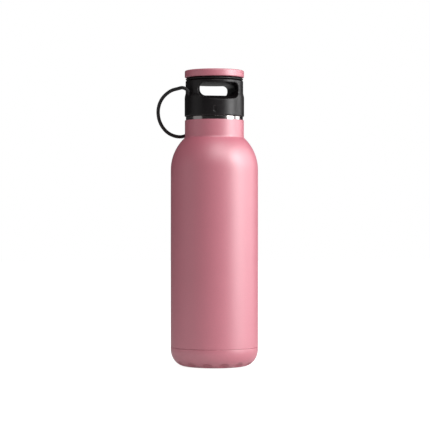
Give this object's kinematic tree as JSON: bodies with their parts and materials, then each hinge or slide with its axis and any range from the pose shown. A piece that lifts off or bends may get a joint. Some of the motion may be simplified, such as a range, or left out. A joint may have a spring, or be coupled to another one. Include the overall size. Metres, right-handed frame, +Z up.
{
  "type": "insulated shaker bottle",
  "caption": "Tall round vacuum-insulated bottle with a rounded shoulder, a coloured base cup and a black screw lid that has a finger window, a flat disc on top and a cord loop.",
  "frame": {"origin": "centre of the base, on the surface that the bottle stands on", "axes": "+Z up the bottle's axis; the lid's finger window runs along Y with its front at -Y; the cord loop is on the -X side"},
  "size_m": [0.0841, 0.073, 0.2468],
  "materials": {
    "coated_steel": "satin powder coat, pink",
    "bare_steel": "polished at the collar, electropolished inside",
    "black_plastic": "fine matte moulding",
    "pink_plastic": "satin paint, pink",
    "liner_plastic": "smooth moulding",
    "foam": "closed-cell foam",
    "silicone": "soft matte silicone",
    "cord": "round braided cord",
    "pad": "bonding pad",
    "getter_metal": "sintered pellet"
  },
  "bodies": {
    "bottle": {"outer_shell": "coated_steel", "outer_bottom": "bare_steel", "inner_liner": "bare_steel", "liner_bottom": "bare_steel", "neck_collar": "bare_steel", "getter": "getter_metal", "vacuum_seal": "bare_steel", "base_cup": "pink_plastic", "base_pad": "pad"},
    "lid_lift": {"lid_gasket": "silicone"},
    "lid": {"lid_body": "black_plastic", "lid_liner": "liner_plastic", "lid_foam": "foam", "disc_carrier": "black_plastic", "top_disc": "pink_plastic", "disc_tape": "pad", "cord_stop_front": "bare_steel", "cord_stop_back": "bare_steel", "carry_cord": "cord"},
    "grid": {"mixer_grid": "liner_plastic"}
  },
  "joints": [
    {"name": "lid_raise", "type": "slide", "parent": "bottle", "child": "lid_lift", "axis": [0, 0, 1], "range_m": [0, 0.01125]},
    {"name": "lid_turn", "type": "hinge", "parent": "lid_lift", "child": "lid", "pos_m": [0, 0, 0.22], "axis": [0, 0, 1], "range_deg": [0, 270]},
    {"name": "grid_pull", "type": "slide", "parent": "lid", "child": "grid", "axis": [0, 0, -1], "range_m": [0, 0.01]}
  ],
  "couplings": [
    {"joint": "lid_raise", "follows": "lid_turn", "m_per_rad": 0.0023873}
  ]
}
